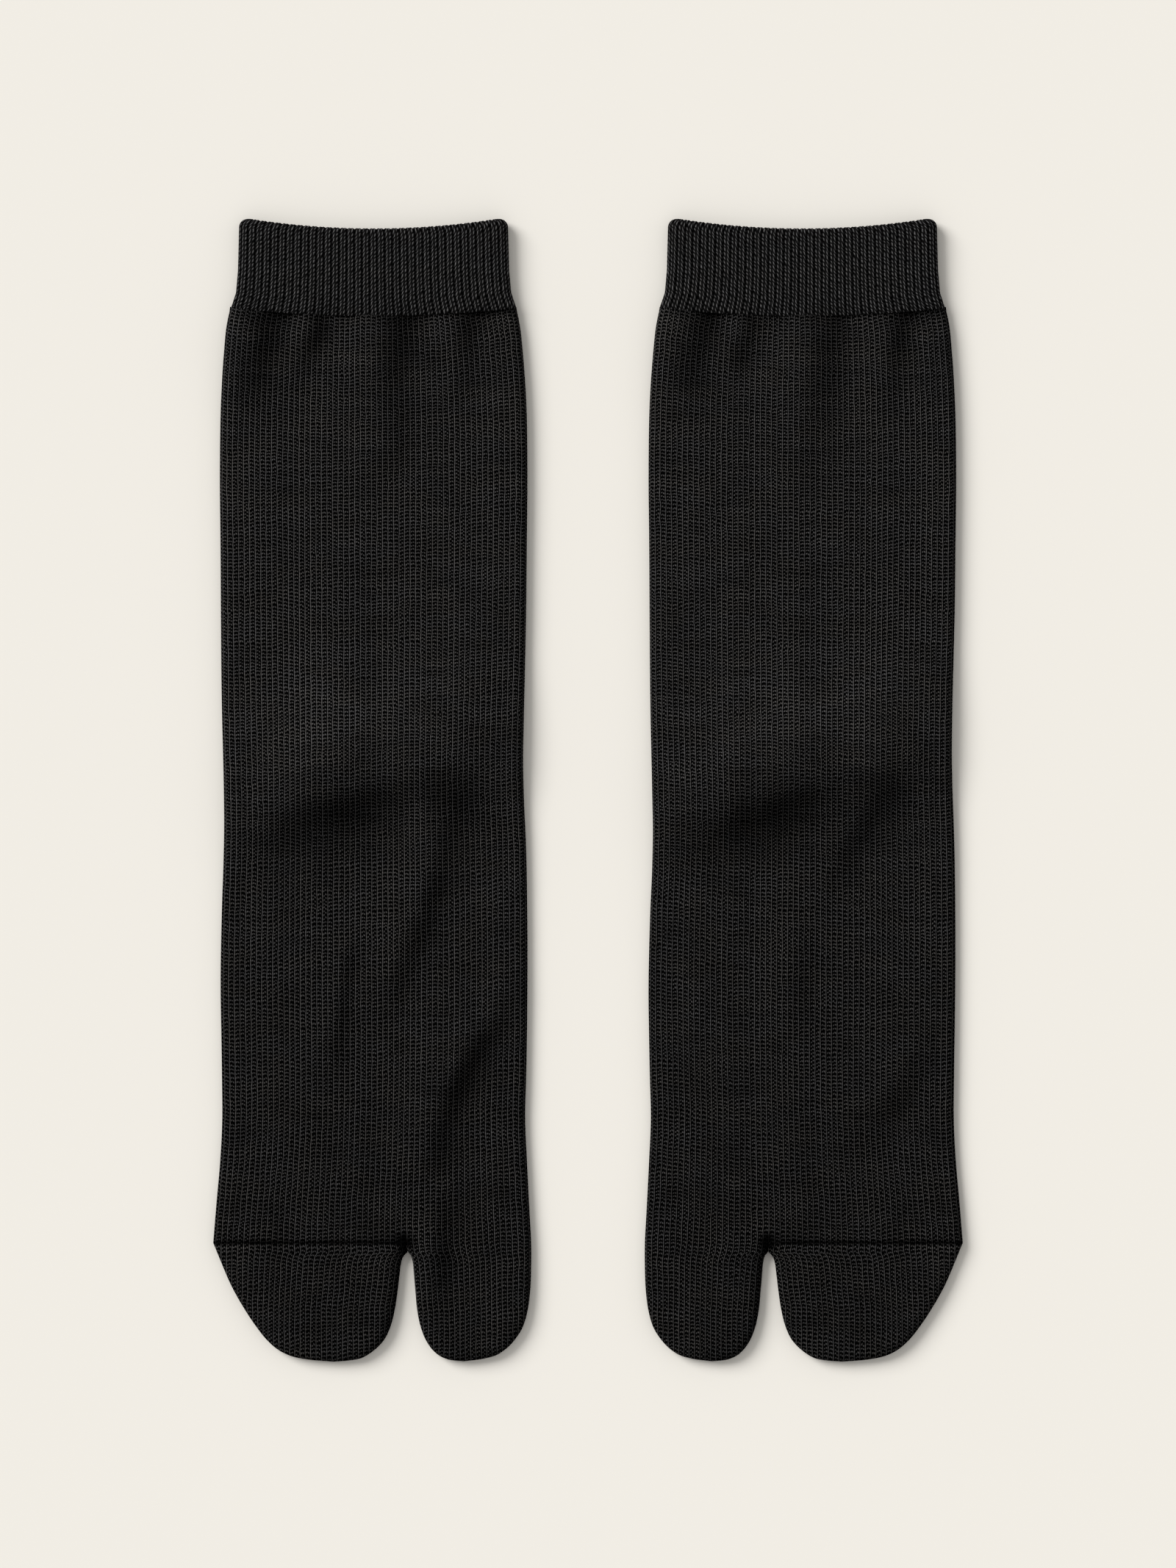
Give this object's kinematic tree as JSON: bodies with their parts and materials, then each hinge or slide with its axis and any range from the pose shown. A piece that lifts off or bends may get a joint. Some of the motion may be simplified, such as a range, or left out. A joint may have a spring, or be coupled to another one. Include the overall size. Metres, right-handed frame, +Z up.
{
  "type": "pair of tabi socks",
  "caption": "Black knitted split-toe socks laid flat side by side, each with a ribbed cuff, a folded heel and a big toe of its own.",
  "frame": {"origin": "on the surface that the pair lies on, at the middle of the pair", "axes": "+X to the right across the pair, from the right-foot sock to the left-foot sock; +Y from the toes to the cuffs; +Z up"},
  "size_m": [0.2242, 0.3416, 0.0101],
  "materials": {
    "stockinette_knit": "matte knitted cotton blend",
    "ribbed_knit": "matte ribbed knit"
  },
  "bodies": {
    "root": {"right_foot_body": "stockinette_knit", "right_foot_cuff": "ribbed_knit", "right_foot_heel": "stockinette_knit", "right_foot_toe_cap": "stockinette_knit", "left_foot_body": "stockinette_knit", "left_foot_cuff": "ribbed_knit", "left_foot_heel": "stockinette_knit", "left_foot_toe_cap": "stockinette_knit"}
  },
  "joints": []
}
